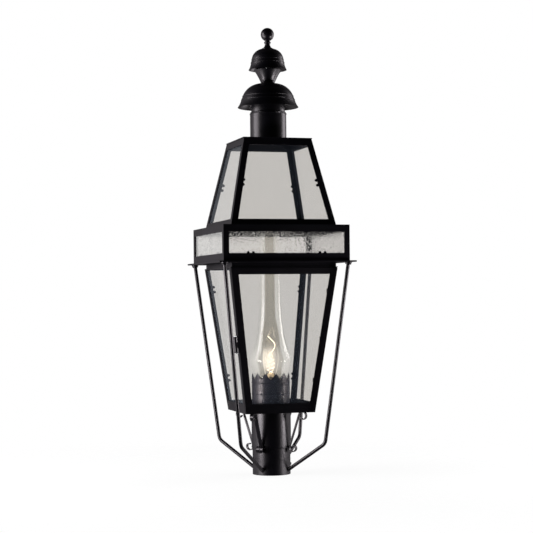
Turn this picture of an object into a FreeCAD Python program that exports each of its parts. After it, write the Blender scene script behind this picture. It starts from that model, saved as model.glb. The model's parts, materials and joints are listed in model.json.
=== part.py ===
import FreeCAD, Part
import math
import os
from FreeCAD import Matrix, Placement, Vector

# Victorian post lantern, millimetres, +Z up. The origin is the centre of the fitter's lower rim,
# the door is in the front face (-Y), and its hinge is at the front left corner.

# Post sleeve and hub
post_bore_r = 38.6
sleeve_r = 41.1
sleeve_height = 74.0
sleeve_groove_z = 36.3
sleeve_groove_width = 1.8
sleeve_groove_depth = 0.7
hub_r = 42.6
hub_low_z = 57.5
hub_slide_gap = 0.2
hub_bead_r = 0.9
hub_bead_rise = 1.1
hub_lid = 3.0
hub_bore_r = 40.0
set_screw_r = 3.0
set_screw_z = 20.0
set_screw_stand_out = 3.0
set_screw_angles = (0.0, 90.0)
set_screw_gap = 0.1

# Lamp body: a square frame that widens upwards
body_low_z = 136.2
body_low_half = 76.5
body_top_z = 446.5
body_top_half = 117.0
sheet = 1.6
body_leg = 11.4
body_side_front_leg = 16.4
door_opening_leg = 8.5
body_bottom_rail = 20.7
door_opening_drop = 7.0
body_top_rail = 3.2
body_ring_width = 12.0
neck_half = 114.0
neck_height = 9.0
floor_thickness = 2.0
floor_side_gap = 0.3

# Door
door_thickness = 5.0
door_gap = 0.4
door_side_inset = 0.3
door_stile = 15.2
door_top_rail = 15.8
door_top_gap = 1.2
door_skin = 1.6
door_glass_overlap = 2.6
door_glass_side_gap = 0.3
door_clip_z = (205.0, 395.0)
door_clip_width = 5.8
door_clip_height = 9.0
door_clip_thickness = 0.8
door_clip_from_stile_edge = 2.8

# Hinge at the front left corner
hinge_z = 283.5
hinge_length = 34.4
hinge_knuckle_r = 4.8
hinge_pin_r = 2.0
hinge_running_gap = 0.08
hinge_knuckle_gap = 0.3
hinge_leaf = 1.2
hinge_leaf_inset = 0.4
hinge_fixed_leaf_width = 9.4
hinge_door_leaf_width = 4.2
hinge_pin_head_r = 3.4
hinge_pin_head = 1.4

# Door catch inside the front right corner
catch_z = 290.0
catch_width = 14.0
catch_thickness = 1.0
catch_reach = 10.0
catch_foot = 6.0
catch_gap = 0.4
catch_nose_at = 0.6
catch_nose_slant = 0.2
catch_tab_depth = 9.0
catch_tab_thickness = 1.2
catch_tab_height = 12.0
catch_tab_from_rebate = 1.0

# Cradle: a square plate and four bent rods
plate_thickness = 3.2
plate_hole_half = 105.0
plate_overhang = 11.3
rod_r = 3.9
rod_corner_inset = 13.8
rod_bend_r = 131.0
rod_bend_z = 70.0
rod_bend_radius = 18.0
rod_foot_z = 10.5
weld_gap = 0.1
collar_r = 7.4
collar_low_r = 6.0
collar_height = 5.0

# Scroll legs between the hub and the floor
leg_width = 8.0
leg_thickness = 2.0
leg_low_curl_r = 8.0
leg_high_curl_r = 8.5
leg_low_curl_z = 57.8
leg_high_curl_out = 77.3
leg_low_tip_r = 5.2
leg_high_tip_r = 4.6
leg_low_degrees = 205.0
leg_high_degrees = 228.0
leg_tip_degrees = 115.0

# Glazed band above the cradle
gallery_half = 137.1
gallery_height = 75.5
gallery_stile = 12.0
gallery_top_rail = 15.0
gallery_bottom_rail = 15.9
gallery_ring_inner_half = 105.0

# Sloping glazed roof
roof_low_half = 114.8
roof_top_half = 74.5
roof_height = 186.0
roof_stile = 13.5
roof_bottom_rail = 12.5
roof_top_rail = 14.2
roof_ring_width = 10.0
roof_lid_half = 75.5

# Glass and the tabs that hold it
glass = 3.0
glass_overlap = 5.0
tab_thickness = 1.2
tab_width = 17.0
tab_ear_width = 6.0
tab_ear_reach = 4.0
tab_back_end = -1.0
tab_foot = 3.0
tab_side_gap = 1.0
gallery_tab_x = 78.0
body_tab_z = (205.0, 400.0)

# Vent tube and the two bells
vent_r = 39.3
vent_wall = 1.2
vent_height = 59.2
vent_below_lid = 3.2
vent_flange_r = 44.0
vent_bead_r = 1.1
vent_groove_below_top = 7.5
vent_groove_width = 1.6
vent_groove_depth = 0.5
cap_sleeve_gap = 1.6
cap_sleeve_wall = 1.0
cap_sleeve_depth = 27.0
cap_sleeve_rise = 57.2
cap_sleeve_bead_r = 1.5
cap_slot_count = 10
cap_slot_width = 13.0
cap_slot_height = 16.0
cap_slot_low = 24.0
bell_wall = 1.2
low_bell_rim_r = 65.9
low_bell_rim_z = 794.3
low_bell_step = (58.0, 810.5)
low_bell_brow = (55.1, 818.5)
low_bell_shoulder = (43.9, 835.0)
low_bell_top_r = 15.0
low_bell_top_z = 845.6
cone_low_r = 14.2
cone_high_r = 29.6
cone_height = 29.4
cone_hollow = 1.1
cone_foot_fillet = 0.5
high_bell_rim_r = 41.4
high_bell_rim_z = 875.6
high_bell_step = (36.2, 891.0)
high_bell_brow = (34.7, 898.0)
high_bell_shoulder = (28.0, 913.2)
high_bell_top_r = 12.5
high_bell_top_z = 921.2
bell_bead_r = 0.9
bell_rim_trim = 1.0
bell_flare_hollow = 0.9

# Finial and the rod that ties the cap together
finial_foot_r = 12.4
finial_foot_brim = 1.2
finial_hollow_r = 1.6
finial_hollow_rise = 3.2
finial_neck_r = 5.9
finial_neck_z = 930.8
finial_collar_r = 7.5
finial_collar_z = 935.0
finial_collar_half = 1.8
finial_ball_r = 14.4
finial_ball_z = 952.6
tie_rod_r = 2.5
tie_rod_gap = 0.2
tie_rod_in_finial = 8.0
tie_rod_end_gap = 0.5
tie_rod_below_nut = 2.0
tie_nut_r = 5.2
tie_nut = 4.0
cap_spacer_r = 4.5
bridge_width = 12.0
bridge_thickness = 3.0
bridge_above_tube = 12.0
bridge_end_gap = 0.1

# Lamp cup, chimney and bulb
cup_r = 41.1
cup_wall = 1.2
cup_height = 77.2
cup_tooth_count = 12
cup_tooth_depth = 12.5
cup_tooth_flat = 1.6
cup_tooth_turn = 14.0
cup_bead_r = 1.1
cup_bead_z = (173.9, 197.6)
seat_thickness = 1.6
seat_below_valley = 4.5
seat_hole_count = 8
seat_hole_r = 5.0
seat_hole_circle_r = 27.0
seat_side_gap = 0.3
chimney_wall = 2.2
chimney_base_r = 37.2
chimney_heel = 9.0
chimney_mouth_r = 38.6
chimney_mouth_rise = 17.0
chimney_bulge_r = 44.6
chimney_bulge_rise = 46.0
chimney_shoulder_r = 37.2
chimney_shoulder_rise = 72.0
chimney_waist_r = 28.6
chimney_waist_rise = 110.0
chimney_throat_r = 24.2
chimney_throat_rise = 150.0
chimney_neck_r = 22.9
chimney_neck_rise = 182.0
chimney_height = 318.0
pipe_r = 4.8
pipe_bore_r = 3.4
pipe_gap = 0.15
pipe_below_lid = 12.0
pipe_above_floor = 24.0
pipe_in_holder = 2.0
pipe_nut_r = 8.6
pipe_nut = 4.0
holder_r = 13.2
holder_height = 42.0
holder_foot_gap = 0.3
holder_bore_r = 6.3
holder_bore_depth = 26.0
bulb_base_r = 6.0
bulb_base_above_bore = 1.0
bulb_collar_r = 8.2
bulb_belly_r = 17.4
bulb_belly_rise = 43.0
bulb_shoulder_r = 12.2
bulb_shoulder_rise = 76.0
bulb_tip_r = 1.6
bulb_height = 113.5

sides = {"front": 0, "right": 90, "back": 180, "left": -90}
body_legs = {"left": (body_leg, body_side_front_leg), "right": (body_side_front_leg, body_leg),
             "back": (body_leg, body_leg)}
corners = {"front_left": -135, "front_right": -45, "back_right": 45, "back_left": 135}
up = Vector(0, 0, 1)
centre = Vector(0, 0, 0)

# How far a cutter runs on past the material, and the length of one that goes right through
past = 1.0
through = 60.0

# How far the centre of a rolled bead lies under the surface it stands out from
bead_inset = 0.2

# Heights that follow from the stack
plate_z = body_top_z + neck_height
gallery_z = plate_z + plate_thickness
roof_z = gallery_z + gallery_height
lid_z = roof_z + roof_height
vent_top_z = lid_z + sheet + vent_height
door_recess = door_thickness + door_gap
door_rebate = door_stile - door_glass_overlap - door_glass_side_gap
floor_z = body_low_z + sheet
cup_z = floor_z + floor_thickness
cup_top_z = cup_z + cup_height
seat_z = cup_top_z - cup_tooth_depth - seat_below_valley
chimney_z = seat_z + seat_thickness
plate_half = gallery_half + plate_overhang
rod_top_r = (plate_half - rod_corner_inset) * math.sqrt(2)
leg_low_curl_out = hub_r + hub_bead_r + weld_gap + leg_thickness / 2 + leg_low_curl_r

body_box = (body_low_z, body_low_half, body_top_z, body_top_half)
gallery_box = (gallery_z, gallery_half, roof_z, gallery_half)
roof_box = (roof_z, roof_low_half, lid_z, roof_top_half)


def save(name, solids):
    """Write one sub-part, made of one solid or a list of separate solids."""
    shape = Part.makeCompound(solids) if isinstance(solids, list) else solids
    for solid in shape.Solids:
        if not solid.isValid() or solid.Volume <= 0:
            print("problem in", name)
    shape.exportStep("parts/" + name + ".step")
    print(name, len(shape.Solids), "solids", round(shape.Volume / 1000, 2), "cm3")


def one_solid(shape):
    """A boolean result as its single clean solid."""
    shape = shape.removeSplitter()
    if len(shape.Solids) != 1:
        print("expected one solid, got", len(shape.Solids))
    return shape.Solids[0]


def slope(box):
    return (box[3] - box[1]) / (box[2] - box[0])


def half_at(box, z):
    return box[1] + slope(box) * (z - box[0])


def square(half, z):
    return [Vector(-half, -half, z), Vector(half, -half, z), Vector(half, half, z), Vector(-half, half, z)]


def flat_face(points):
    return Part.Face(Part.makePolygon(points + [points[0]]))


def hull_between(low, high):
    """The closed solid between two polygons with flat sides."""
    count = len(low)
    faces = [flat_face(low), flat_face(high)]
    for i in range(count):
        j = (i + 1) % count
        faces.append(flat_face([low[i], low[j], high[j], high[i]]))
    solid = Part.makeSolid(Part.makeShell(faces))
    if solid.Volume < 0:
        solid.reverse()
    return solid


def frustum(box, inset=0.0, extra=0.0):
    z0, z1 = box[0] - extra, box[2] + extra
    return hull_between(square(half_at(box, z0) - inset, z0), square(half_at(box, z1) - inset, z1))


def taper_shell(box, wall):
    """The four walls of a tapered square box, open at both ends."""
    across = wall * math.hypot(1, slope(box))
    return frustum(box).cut(frustum(box, across, 1.0))


def square_ring(outer, inner, z, thickness):
    plate = Part.makeBox(2 * outer, 2 * outer, thickness, Vector(-outer, -outer, z))
    return plate.cut(Part.makeBox(2 * inner, 2 * inner, thickness + 2, Vector(-inner, -inner, z - 1)))


def face_axes(box):
    """Across, into the box and up the face, for the front face."""
    k = slope(box)
    s = math.hypot(1, k)
    return Vector(1, 0, 0), Vector(0, 1 / s, k / s), Vector(0, -k / s, 1 / s)


def panel(box, z_low, z_high, inset_left, inset_right, depth, thickness):
    """A flat four-sided plate parallel to the front face, depth below its outer surface."""
    inward = face_axes(box)[1]
    points = []
    for z, way in ((z_low, -1), (z_low, 1), (z_high, 1), (z_high, -1)):
        inset = inset_left if way < 0 else inset_right
        points.append(Vector(way * (half_at(box, z) - inset), -half_at(box, z), z) + inward * depth)
    return flat_face(points).extrude(inward * thickness)


def turned(shape, side):
    shape = shape.copy()
    shape.rotate(centre, up, sides[side] if isinstance(side, str) else side)
    return shape


def placed(shape, origin, x_axis, y_axis, z_axis):
    """Move a shape from its own axes to the given ones."""
    matrix = Matrix(x_axis.x, y_axis.x, z_axis.x, origin.x,
                    x_axis.y, y_axis.y, z_axis.y, origin.y,
                    x_axis.z, y_axis.z, z_axis.z, origin.z, 0, 0, 0, 1)
    shape = shape.copy()
    shape.Placement = Placement(matrix).multiply(shape.Placement)
    return shape


def line(a, b):
    return Part.LineSegment(Vector(a[0], 0, a[1]), Vector(b[0], 0, b[1])).toShape()


def arc(a, b, c):
    return Part.Arc(Vector(a[0], 0, a[1]), Vector(b[0], 0, b[1]), Vector(c[0], 0, c[1])).toShape()


def smooth(points):
    curve = Part.BSplineCurve()
    curve.interpolate([Vector(p[0], 0, p[1]) for p in points])
    return curve.toShape()


def revolved(edges):
    """A turned or spun piece from its closed outline, given as radius and height."""
    wire = Part.Wire(Part.__sortEdges__(edges))
    solid = Part.Face(wire).revolve(centre, up, 360)
    return Part.makeSolid(solid.Shells[0]) if not solid.Solids else solid.Solids[0]


def tube(r_out, r_in, z, height):
    return Part.makeCylinder(r_out, height, Vector(0, 0, z)).cut(
        Part.makeCylinder(r_in, height + 2 * past, Vector(0, 0, z - past)))


def bead(r, z, bead_r):
    """A half-round ring to add to a tube of radius r, or to cut out as a groove."""
    return Part.makeTorus(r, bead_r, Vector(0, 0, z), up)


def groove(r, z, width, depth):
    return tube(r + past, r - depth, z - width / 2, width)


def hexagon(corner_r, z, height):
    points = []
    for i in range(6):
        angle = math.radians(60 * i)
        points.append(Vector(corner_r * math.cos(angle), corner_r * math.sin(angle), z))
    return flat_face(points).extrude(up * height)


def hex_nut(corner_r, bore, z, height):
    hole = Part.makeCylinder(bore, height + 2 * past, Vector(0, 0, z - past))
    return hexagon(corner_r, z, height).cut(hole)


def make_sleeve():
    body = tube(sleeve_r, post_bore_r, 0, sleeve_height)
    body = body.cut(groove(sleeve_r, sleeve_groove_z, sleeve_groove_width, sleeve_groove_depth))
    for angle in set_screw_angles:
        hole = Part.makeCylinder(set_screw_r + set_screw_gap, sleeve_r + past, Vector(0, 0, set_screw_z),
                                 Vector(1, 0, 0))
        body = body.cut(turned(hole, angle))
    save("post_sleeve", one_solid(body))


def make_set_screws():
    screws = []
    socket_r = 0.5 * set_screw_r
    end = sleeve_r + set_screw_stand_out
    for angle in set_screw_angles:
        start = Vector(post_bore_r, 0, set_screw_z)
        screw = Part.makeCylinder(set_screw_r, end - post_bore_r, start, Vector(1, 0, 0))
        socket = hexagon(socket_r, 0, set_screw_stand_out)
        socket = placed(socket, Vector(end - set_screw_stand_out + 0.5, 0, set_screw_z),
                        Vector(0, 1, 0), Vector(0, 0, 1), Vector(1, 0, 0))
        screws.append(turned(one_solid(screw.cut(socket)), angle))
    save("set_screws", screws)


def make_hub():
    top = floor_z
    bore = sleeve_r + hub_slide_gap
    body = Part.makeCylinder(hub_r, top - hub_low_z, Vector(0, 0, hub_low_z))
    body = body.fuse(bead(hub_r, hub_low_z + hub_bead_rise, hub_bead_r))
    body = body.cut(Part.makeCylinder(bore, sleeve_height - hub_low_z + past, Vector(0, 0, hub_low_z - past)))
    body = body.cut(Part.makeCylinder(hub_bore_r, top - hub_lid - hub_low_z, Vector(0, 0, hub_low_z)))
    body = body.cut(Part.makeCylinder(pipe_r + pipe_gap, through, Vector(0, 0, top - hub_lid - past)))
    save("post_hub", one_solid(body))


def side_window(box, bottom, top, inset_left, inset_right, wall, depth=0.0):
    """The cutter for one glazed opening in a wall."""
    return panel(box, box[0] + bottom, box[2] - top, inset_left, inset_right, depth - past,
                 wall + 2 * past)


def make_body_frame():
    walls = taper_shell(body_box, sheet)
    foot_ring = square_ring(body_low_half, body_low_half - body_ring_width, body_low_z, sheet)
    slab = panel(body_box, body_low_z - 2 * past, body_top_z - sheet, -past, -past, -past, past + door_recess)
    front = panel(body_box, body_low_z - 2 * past, body_top_z + 2 * past, 0, 0, door_recess, sheet)
    frame = walls.fuse(foot_ring).cut(slab).fuse(front.common(frustum(body_box)))
    head_half = half_at(body_box, body_top_z - sheet)
    frame = frame.fuse([
        square_ring(head_half, head_half - body_ring_width, body_top_z - sheet, sheet),
        square_ring(neck_half, neck_half - sheet, body_top_z, neck_height)])
    cuts = [side_window(body_box, body_bottom_rail - door_opening_drop, body_top_rail, door_opening_leg,
                        door_opening_leg, sheet, door_recess)]
    for side, (left, right) in body_legs.items():
        cuts.append(turned(side_window(body_box, body_bottom_rail, body_top_rail, left, right, sheet), side))
    save("body_frame", one_solid(frame.cut(cuts)))


def pane(box, bottom, top, inset_left, inset_right, depth):
    """A sheet of glass behind a window, overlapping its frame all round."""
    return panel(box, box[0] + bottom - glass_overlap, box[2] - top + glass_overlap,
                 inset_left - glass_overlap, inset_right - glass_overlap, depth, glass)


def make_body_glass():
    top = body_top_rail + sheet + glass_overlap
    for side, (left, right) in body_legs.items():
        sheet_of_glass = pane(body_box, body_bottom_rail, top, left, right, sheet)
        save("body_glass_" + side, turned(sheet_of_glass, side))


def make_floor():
    half = half_at(body_box, floor_z) - sheet * math.hypot(1, slope(body_box)) - floor_side_gap
    front_cut = door_recess
    corner = Vector(-half, -half + front_cut, floor_z)
    plate = Part.makeBox(2 * half, 2 * half - front_cut, floor_thickness, corner)
    hole = Part.makeCylinder(pipe_r + pipe_gap, through, Vector(0, 0, floor_z - past))
    save("floor_plate", one_solid(plate.cut(hole)))


def door_window_z():
    return body_low_z + body_bottom_rail, body_top_z - door_top_rail


def make_door_frame():
    low, high = door_window_z()
    frame = panel(body_box, body_low_z, body_top_z - sheet - door_top_gap, door_side_inset, door_side_inset,
                  0, door_thickness)
    frame = frame.cut(panel(body_box, low, high, door_stile, door_stile, -past, door_thickness + 2 * past))
    reach = door_glass_overlap + door_glass_side_gap
    frame = frame.cut(panel(body_box, low - reach, high + reach, door_rebate, door_rebate, door_skin,
                            door_thickness))
    tab_x = half_at(body_box, catch_z) - door_rebate + catch_tab_from_rebate
    tab = Part.makeBox(catch_tab_thickness, catch_tab_depth + past, catch_tab_height,
                       Vector(0, -past, -catch_tab_height / 2))
    back = Vector(tab_x, -half_at(body_box, catch_z), catch_z) + face_axes(body_box)[1] * door_thickness
    save("door_frame", one_solid(frame.fuse(placed(tab, back, *face_axes(body_box)))))


def make_door_glass():
    low, high = door_window_z()
    inset = door_stile - door_glass_overlap
    save("door_glass", panel(body_box, low - door_glass_overlap, high + door_glass_overlap, inset, inset,
                             door_skin, glass))


def make_door_clips():
    """Flat turn-tabs on the back of the door that keep its glass in the rebate."""
    clips = []
    for z in door_clip_z:
        for way in (-1, 1):
            x = way * (half_at(body_box, z) - door_stile + door_clip_from_stile_edge)
            spot = Vector(x, -half_at(body_box, z), z) + face_axes(body_box)[1] * door_thickness
            plate = Part.makeBox(door_clip_width, door_clip_thickness, door_clip_height,
                                 Vector(-door_clip_width / 2, 0, -door_clip_height / 2))
            clips.append(placed(plate, spot, *face_axes(body_box)))
    save("door_glass_clips", clips)


def hinge_axes():
    """Axes at the front left corner edge: back along the left face, outward, and up the edge."""
    k = slope(body_box)
    edge = Vector(-k, -k, 1).normalize()
    outward = Vector(-1, 0, -k).normalize()
    return outward.cross(edge).normalize(), outward, edge


def on_hinge(shape):
    half = half_at(body_box, hinge_z)
    return placed(shape, Vector(-half, -half, hinge_z), *hinge_axes())


def hinge_centre():
    return door_thickness + door_gap / 2, hinge_knuckle_r + hinge_knuckle_gap


def knuckle(z_low, z_high, bore_r):
    x, y = hinge_centre()
    height = z_high - z_low
    barrel = Part.makeCylinder(hinge_knuckle_r, height, Vector(x, y, z_low))
    return barrel, Part.makeCylinder(bore_r, height + 2 * past, Vector(x, y, z_low - past))


def make_hinge():
    x, y = hinge_centre()
    third = hinge_length / 3
    bottom = -hinge_length / 2
    middle_low = bottom + third
    middle_high = bottom + 2 * third
    fixed_bore = hinge_pin_r + hinge_running_gap / 2
    leaf_x = door_recess + hinge_leaf_inset
    fixed = Part.makeBox(hinge_fixed_leaf_width, hinge_leaf, hinge_length, Vector(leaf_x, 0, bottom))
    bores = []
    for z in (bottom, middle_high):
        barrel, bore = knuckle(z, z + third - hinge_knuckle_gap / 2, fixed_bore)
        web = Part.makeBox(hinge_knuckle_r, y, third - hinge_knuckle_gap / 2, Vector(x, 0, z))
        if z == bottom:
            fixed = fixed.fuse([barrel, web])
        else:
            shift = Vector(0, 0, hinge_knuckle_gap / 2)
            fixed = fixed.fuse([barrel.translated(shift), web.translated(shift)])
        bores.append(bore)
    clear = Part.makeBox(x + hinge_knuckle_r, y + 2 * hinge_knuckle_r, third + hinge_knuckle_gap,
                         Vector(-past, -past, middle_low - hinge_knuckle_gap / 2))
    fixed = fixed.cut(clear).cut([bores[0], bores[1].translated(Vector(0, 0, past))])
    save("hinge_leaf_frame", on_hinge(one_solid(fixed)))

    barrel, bore = knuckle(middle_low + hinge_knuckle_gap / 2, middle_high - hinge_knuckle_gap / 2,
                           hinge_pin_r + hinge_running_gap)
    length = third - hinge_knuckle_gap
    web = Part.makeBox(x - hinge_leaf_inset, y - hinge_leaf, length,
                       Vector(hinge_leaf_inset, 0, middle_low + hinge_knuckle_gap / 2))
    leaf = Part.makeBox(hinge_door_leaf_width, hinge_leaf, hinge_length, Vector(hinge_leaf_inset, 0, bottom))
    room = Part.makeCylinder(hinge_knuckle_r + hinge_knuckle_gap, third + hinge_knuckle_gap / 2)
    rooms = [room.translated(Vector(x, y, z)) for z in (bottom, middle_high - hinge_knuckle_gap / 2)]
    door_leaf = leaf.cut(rooms).fuse([barrel, web]).cut(bore)
    save("hinge_leaf_door", on_hinge(one_solid(door_leaf)))

    pin = Part.makeCylinder(hinge_pin_r, hinge_length, Vector(x, y, bottom))
    heads = []
    for z in (bottom - hinge_pin_head, -bottom):
        head = Part.makeCylinder(hinge_pin_head_r, hinge_pin_head, Vector(x, y, z))
        heads.append(head)
    save("hinge_pin", on_hinge(one_solid(pin.fuse(heads))))
    axis = hinge_axes()[2]
    half = half_at(body_box, hinge_z)
    across, outward = hinge_axes()[0], hinge_axes()[1]
    point = Vector(-half, -half, hinge_z) + across * x + outward * y
    print("door hinge point", [round(v, 3) for v in point], "opening axis", [round(-v, 6) for v in axis])


def make_catch():
    """A bent spring strip inside the front right leg; its nose stands beside the door's tab."""
    half = half_at(body_box, catch_z)
    nose = door_rebate - catch_tab_from_rebate - catch_tab_thickness - catch_gap - door_opening_leg
    nose_y = catch_nose_at * catch_reach
    slant = catch_nose_slant * catch_reach
    points = [(0, 0), (catch_foot, 0), (catch_foot, catch_thickness), (catch_thickness, catch_thickness),
              (catch_thickness, nose_y - slant), (catch_thickness - nose, nose_y),
              (catch_thickness, nose_y + slant), (catch_thickness, catch_reach), (0, catch_reach),
              (0, nose_y + slant), (-nose, nose_y), (0, nose_y - slant)]
    strip = flat_face([Vector(p[0], p[1], -catch_width / 2) for p in points]).extrude(up * catch_width)
    inward = face_axes(body_box)[1]
    spot = Vector(half - door_opening_leg, -half, catch_z) + inward * (door_recess + sheet)
    save("door_catch", placed(strip, spot, *face_axes(body_box)))


def make_plate():
    save("cradle_plate", square_ring(plate_half, plate_hole_half, plate_z, plate_thickness))


def swept(edges, radius, start, direction):
    path = Part.Wire(edges)
    section = Part.Wire(Part.makeCircle(radius, start, direction))
    return path.makePipeShell([section], True, False)


def rod_path_points():
    """Top, bend and foot of a rod's centre line as radius and height, run on past both ends."""
    run_on = 2 * rod_r
    rise = (rod_top_r - rod_bend_r) / (plate_z - rod_bend_z)
    top = (rod_top_r + run_on * rise, plate_z + run_on)
    fall = (rod_bend_z - rod_foot_z) / (rod_bend_r - sleeve_r)
    foot = (sleeve_r - run_on, rod_foot_z - run_on * fall)
    return top, (rod_bend_r, rod_bend_z), foot


def bent_line(top, bend, foot, radius):
    """Two straight runs joined by a tangent arc."""
    a, b, c = (Vector(p[0], 0, p[1]) for p in (top, bend, foot))
    along = (a - b).normalize()
    onward = (c - b).normalize()
    half_angle = along.getAngle(onward) / 2
    run = radius / math.tan(half_angle)
    start, end = b + along * run, b + onward * run
    bisector = (along + onward).normalize()
    middle = b + bisector * (radius / math.sin(half_angle) - radius)
    edges = [Part.LineSegment(a, start).toShape(), Part.Arc(start, middle, end).toShape(),
             Part.LineSegment(end, c).toShape()]
    return edges, a, along


def make_rods():
    edges, start, along = bent_line(*rod_path_points(), rod_bend_radius)
    whole = swept(edges, rod_r, start, along)
    corner = Vector(-2 * plate_half, -2 * plate_half, plate_z)
    above = Part.makeBox(4 * plate_half, 4 * plate_half, through, corner)
    sleeve_room = Part.makeCylinder(sleeve_r + weld_gap, 2 * through, Vector(0, 0, -through))
    rod = one_solid(whole.cut([above, sleeve_room]))
    collar = Part.makeCone(collar_low_r, collar_r, collar_height)
    collar = collar.fuse(Part.makeCylinder(collar_r, collar_height, Vector(0, 0, collar_height)))
    collar = collar.cut(Part.makeCylinder(rod_r + weld_gap, 2 * through, Vector(0, 0, -through)))
    lean = math.degrees(math.atan2(along.x, along.z))
    reach = collar_height / math.cos(math.radians(lean))
    foot = Vector(rod_top_r, 0, plate_z) - along * reach
    collar.rotate(centre, Vector(0, 1, 0), lean)
    collar.translate(foot)
    collar = one_solid(collar.cut(above))
    collars = []
    for name, angle in corners.items():
        save("cradle_rod_" + name, turned(rod, angle))
        collars.append(turned(collar, angle))
    save("rod_collars", collars)


def on_circle(c, r, degrees):
    return Vector(c.x + r * math.cos(math.radians(degrees)), 0, c.z + r * math.sin(math.radians(degrees)))


def curl_edge(c, r, start, sweep):
    return Part.Arc(on_circle(c, r, start), on_circle(c, r, start + sweep / 2),
                    on_circle(c, r, start + sweep)).toShape()


def strip_side(low, high, contact, offset):
    """One side of the strip's outline, from the low tip round to the high tip."""
    low_end = contact + leg_low_degrees
    high_end = contact - leg_high_degrees
    low_tip = low + on_circle(centre, leg_low_curl_r - leg_low_tip_r, low_end)
    high_tip = high + on_circle(centre, leg_high_curl_r - leg_high_tip_r, high_end)
    start = on_circle(low, leg_low_curl_r + offset, contact)
    end = on_circle(high, leg_high_curl_r + offset, contact)
    edges = [curl_edge(low_tip, leg_low_tip_r + offset, low_end + leg_tip_degrees, -leg_tip_degrees),
             curl_edge(low, leg_low_curl_r + offset, low_end, -leg_low_degrees),
             Part.LineSegment(start, end).toShape(),
             curl_edge(high, leg_high_curl_r + offset, contact, -leg_high_degrees),
             curl_edge(high_tip, leg_high_tip_r + offset, high_end, -leg_tip_degrees)]
    tips = (on_circle(low_tip, leg_low_tip_r + offset, low_end + leg_tip_degrees),
            on_circle(high_tip, leg_high_tip_r + offset, high_end - leg_tip_degrees))
    return edges, tips


def make_scroll_legs():
    """Flat strip with an outward curl at each end, standing in the plane of a corner."""
    low = Vector(leg_low_curl_out, 0, leg_low_curl_z)
    high = Vector(leg_high_curl_out, 0, floor_z - weld_gap - leg_thickness / 2 - leg_high_curl_r)
    across = high - low
    lean = math.degrees(math.atan2(across.z, across.x))
    spread = math.degrees(math.acos((leg_high_curl_r - leg_low_curl_r) / across.Length))
    contact = lean - spread + 180
    outer, outer_tips = strip_side(low, high, contact, leg_thickness / 2)
    inner, inner_tips = strip_side(low, high, contact, -leg_thickness / 2)
    ends = [Part.LineSegment(a, b).toShape() for a, b in zip(outer_tips, inner_tips)]
    wire = Part.Wire(Part.__sortEdges__(outer + inner + ends))
    leg = Part.Face(wire).extrude(Vector(0, leg_width, 0)).translated(Vector(0, -leg_width / 2, 0))
    for name, angle in corners.items():
        save("scroll_leg_" + name, turned(one_solid(leg), angle))


def make_gallery():
    frame = taper_shell(gallery_box, sheet)
    frame = frame.fuse([square_ring(gallery_half, gallery_ring_inner_half, gallery_z, sheet),
                        square_ring(gallery_half, gallery_ring_inner_half, roof_z - sheet, sheet)])
    opening = side_window(gallery_box, gallery_bottom_rail, gallery_top_rail, gallery_stile, gallery_stile,
                          sheet)
    save("gallery_frame", one_solid(frame.cut([turned(opening, side) for side in sides])))
    sheet_of_glass = pane(gallery_box, gallery_bottom_rail, gallery_top_rail, gallery_stile, gallery_stile,
                          sheet)
    for side in sides:
        save("gallery_glass_" + side, turned(sheet_of_glass, side))


def make_roof():
    frame = taper_shell(roof_box, sheet)
    frame = frame.fuse(square_ring(half_at(roof_box, roof_z + sheet), roof_low_half - roof_ring_width, roof_z,
                                   sheet))
    opening = side_window(roof_box, roof_bottom_rail, roof_top_rail, roof_stile, roof_stile, sheet)
    save("roof_frame", one_solid(frame.cut([turned(opening, side) for side in sides])))
    sheet_of_glass = pane(roof_box, roof_bottom_rail, roof_top_rail, roof_stile, roof_stile, sheet)
    for side in sides:
        save("roof_glass_" + side, turned(sheet_of_glass, side))
    corner = Vector(-roof_lid_half, -roof_lid_half, lid_z)
    lid = Part.makeBox(2 * roof_lid_half, 2 * roof_lid_half, sheet, corner)
    hole = Part.makeCylinder(vent_r + weld_gap, through, Vector(0, 0, lid_z - past))
    save("roof_lid", one_solid(lid.cut(hole)))


def glass_tab():
    """A bent tab: its foot is on the frame and two round ears lie on the glass.

    Along x it runs from the frame towards the glass, and y goes into the lantern.
    """
    foot_end = -glass_overlap - tab_side_gap
    rise = glass
    half_width = tab_width / 2
    foot = Part.makeBox(tab_foot, tab_thickness, tab_width, Vector(foot_end - tab_foot, 0, -half_width))
    riser_x = foot_end - tab_thickness
    riser = Part.makeBox(tab_thickness, rise + tab_thickness, tab_width, Vector(riser_x, 0, -half_width))
    back = Part.makeBox(tab_back_end - riser_x, tab_thickness, tab_width, Vector(riser_x, rise, -half_width))
    pieces = [riser, back]
    for way in (-1, 1):
        z = way * (half_width - tab_ear_width / 2)
        ear_end = tab_ear_reach - tab_ear_width / 2
        low_corner = Vector(tab_back_end, rise, z - tab_ear_width / 2)
        pieces.append(Part.makeBox(ear_end - tab_back_end, tab_thickness, tab_ear_width, low_corner))
        pieces.append(Part.makeCylinder(tab_ear_width / 2, tab_thickness, Vector(ear_end, rise, z),
                                        Vector(0, 1, 0)))
    return one_solid(foot.fuse(pieces))


def tab_on_stile(box, z, stile, way):
    """A tab on one side of the front face's window; way is 1 for its right side."""
    k = slope(box)
    inward = face_axes(box)[1]
    edge = Vector(way * k, -k, 1).normalize()
    towards = inward.cross(edge).normalize()
    if towards.x * way > 0:
        towards = towards * -1
    half = half_at(box, z)
    origin = Vector(way * (half - stile), -half, z) + inward * sheet
    return placed(glass_tab(), origin, towards, inward, towards.cross(inward))


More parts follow.
